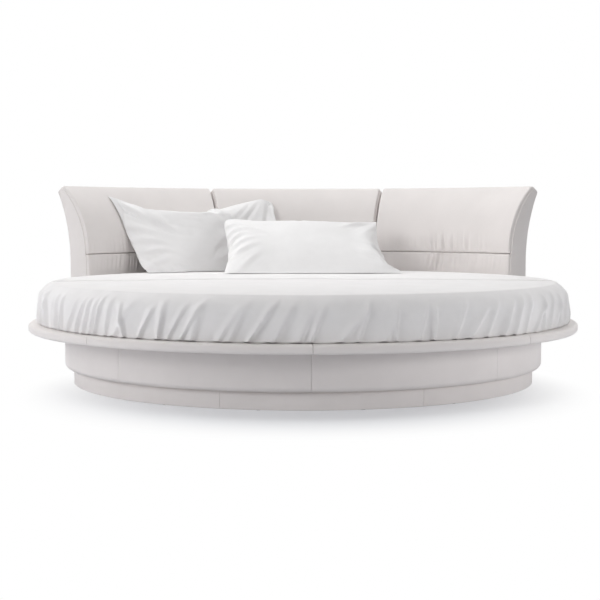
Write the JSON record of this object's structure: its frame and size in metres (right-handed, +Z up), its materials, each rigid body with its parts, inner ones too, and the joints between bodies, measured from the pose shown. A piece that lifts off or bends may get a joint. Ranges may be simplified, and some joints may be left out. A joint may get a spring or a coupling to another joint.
{
  "type": "round bed",
  "caption": "Round upholstered bed on a recessed plinth, with a ring ledge, slatted base, round mattress, gathered sheet, pillows and a curved padded headboard in sections.",
  "frame": {"origin": "on the floor under the middle of the round base, at the flat underside of the centre foot", "axes": "+Z up, +Y from the foot of the bed to the headboard, +X to the right seen from the foot"},
  "size_m": [2.3, 2.4689, 0.8322],
  "materials": {
    "white_leather": "soft white upholstery leather, fine grain, satin",
    "birch_plywood": "sanded birch plywood",
    "pine_timber": "planed pine",
    "beech_slat": "lacquered laminated beech",
    "zinc_steel": "zinc-plated steel",
    "dark_plastic": "moulded, matte",
    "mattress_cover": "knitted cotton cover over foam",
    "white_sheet": "plain woven white cotton",
    "white_pillowcase": "plain woven white cotton",
    "pillow_fill": "downproof cotton over a soft fill"
  },
  "bodies": {
    "root": {"plinth_panel_1": "white_leather", "plinth_panel_2": "white_leather", "plinth_panel_3": "white_leather", "plinth_panel_4": "white_leather", "plinth_panel_5": "white_leather", "plinth_panel_6": "white_leather", "plinth_panel_7": "white_leather", "plinth_panel_8": "white_leather", "drum_panel_1": "white_leather", "drum_panel_2": "white_leather", "drum_panel_3": "white_leather", "drum_panel_4": "white_leather", "drum_panel_5": "white_leather", "drum_panel_6": "white_leather", "drum_panel_7": "white_leather", "drum_panel_8": "white_leather", "ring_segment_1": "white_leather", "ring_segment_2": "white_leather", "ring_segment_3": "white_leather", "ring_segment_4": "white_leather", "ring_segment_5": "white_leather", "ring_segment_6": "white_leather", "ring_segment_7": "white_leather", "ring_segment_8": "white_leather", "lower_hoop": "birch_plywood", "upper_hoop": "birch_plywood", "upright_ribs": "birch_plywood", "plinth_blocks": "birch_plywood", "long_beam": "pine_timber", "cross_beam": "pine_timber", "centre_leg": "pine_timber", "slats_left": "beech_slat", "slats_right": "beech_slat", "joint_plates": "zinc_steel", "plate_screws": "zinc_steel", "ring_screws": "zinc_steel", "headboard_brackets": "zinc_steel", "bracket_bolts": "zinc_steel", "centre_foot": "dark_plastic", "floor_glides": "dark_plastic", "outer_slat_holders": "dark_plastic", "centre_slat_holders": "dark_plastic", "headboard_shell_right": "white_leather", "headboard_shell_centre": "white_leather", "headboard_shell_left": "white_leather", "headboard_core_right": "birch_plywood", "headboard_core_centre": "birch_plywood", "headboard_core_left": "birch_plywood", "upper_pad_right": "white_leather", "upper_pad_centre": "white_leather", "upper_pad_left": "white_leather", "lower_pad_right": "white_leather", "lower_pad_centre": "white_leather", "lower_pad_left": "white_leather"},
    "mattress": {"mattress_core": "mattress_cover", "fitted_sheet": "white_sheet"},
    "back_pillow": {"back_pillow_case": "white_pillowcase", "back_pillow_fill": "pillow_fill"},
    "front_pillow": {"front_pillow_case": "white_pillowcase", "front_pillow_fill": "pillow_fill"}
  },
  "joints": [
    {"name": "mattress_lift", "type": "slide", "parent": "root", "child": "mattress", "axis": [0, 0, 1], "range_m": [0, 0.3]},
    {"name": "back_pillow_lift", "type": "slide", "parent": "mattress", "child": "back_pillow", "axis": [0, 0, 1], "range_m": [0, 0.35]},
    {"name": "front_pillow_lift", "type": "slide", "parent": "back_pillow", "child": "front_pillow", "axis": [0, -0.5, 0.866], "range_m": [0, 0.4]}
  ]
}
